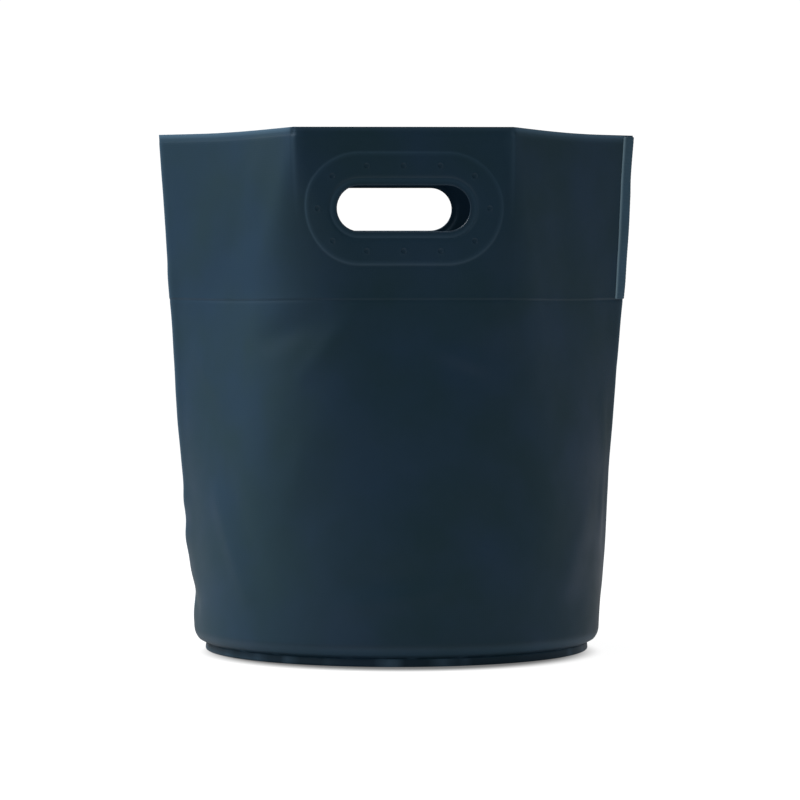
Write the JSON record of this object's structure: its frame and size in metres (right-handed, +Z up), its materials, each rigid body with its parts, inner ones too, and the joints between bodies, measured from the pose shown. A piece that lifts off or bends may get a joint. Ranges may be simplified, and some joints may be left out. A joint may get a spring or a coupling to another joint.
{
  "type": "fabric storage bin",
  "caption": "Round-bottomed open storage tub of welded tarpaulin with a doubled top band and a stiffened hand slot in its front and its back.",
  "frame": {"origin": "middle of the base, on the floor", "axes": "+Z up, -Y to the front hand slot, +X to the right side corner"},
  "size_m": [0.3178, 0.27, 0.345],
  "materials": {
    "tarpaulin": "satin PVC coating over a fine weave",
    "tarpaulin_inside": "satin PVC coating over a fine weave",
    "stiffener": "plain polyethylene sheet"
  },
  "bodies": {
    "tub": {"front_sheet_sides": "tarpaulin", "front_band_sides": "tarpaulin_inside", "back_sheet_sides": "tarpaulin", "back_band_sides": "tarpaulin_inside", "left_corner_tape": "tarpaulin_inside", "right_corner_tape": "tarpaulin", "left_seam_tape": "tarpaulin_inside", "right_seam_tape": "tarpaulin_inside", "base_disc": "tarpaulin_inside", "base_binding": "tarpaulin"},
    "front_handle": {"front_panel": "tarpaulin", "front_band_panel": "tarpaulin_inside", "front_stiffener": "stiffener", "front_plug_welds": "tarpaulin"},
    "back_handle": {"back_panel": "tarpaulin", "back_band_panel": "tarpaulin_inside", "back_stiffener": "stiffener", "back_plug_welds": "tarpaulin"}
  },
  "joints": [
    {"name": "front_lean", "type": "hinge", "parent": "tub", "child": "front_handle", "pos_m": [0, -0.115, 0.03], "axis": [-1, 0, 0], "range_deg": [0, 17], "stiffness_Nm_per_rad": 1},
    {"name": "back_lean", "type": "hinge", "parent": "tub", "child": "back_handle", "pos_m": [0, 0.115, 0.03], "axis": [1, 0, 0], "range_deg": [0, 17], "stiffness_Nm_per_rad": 1}
  ]
}
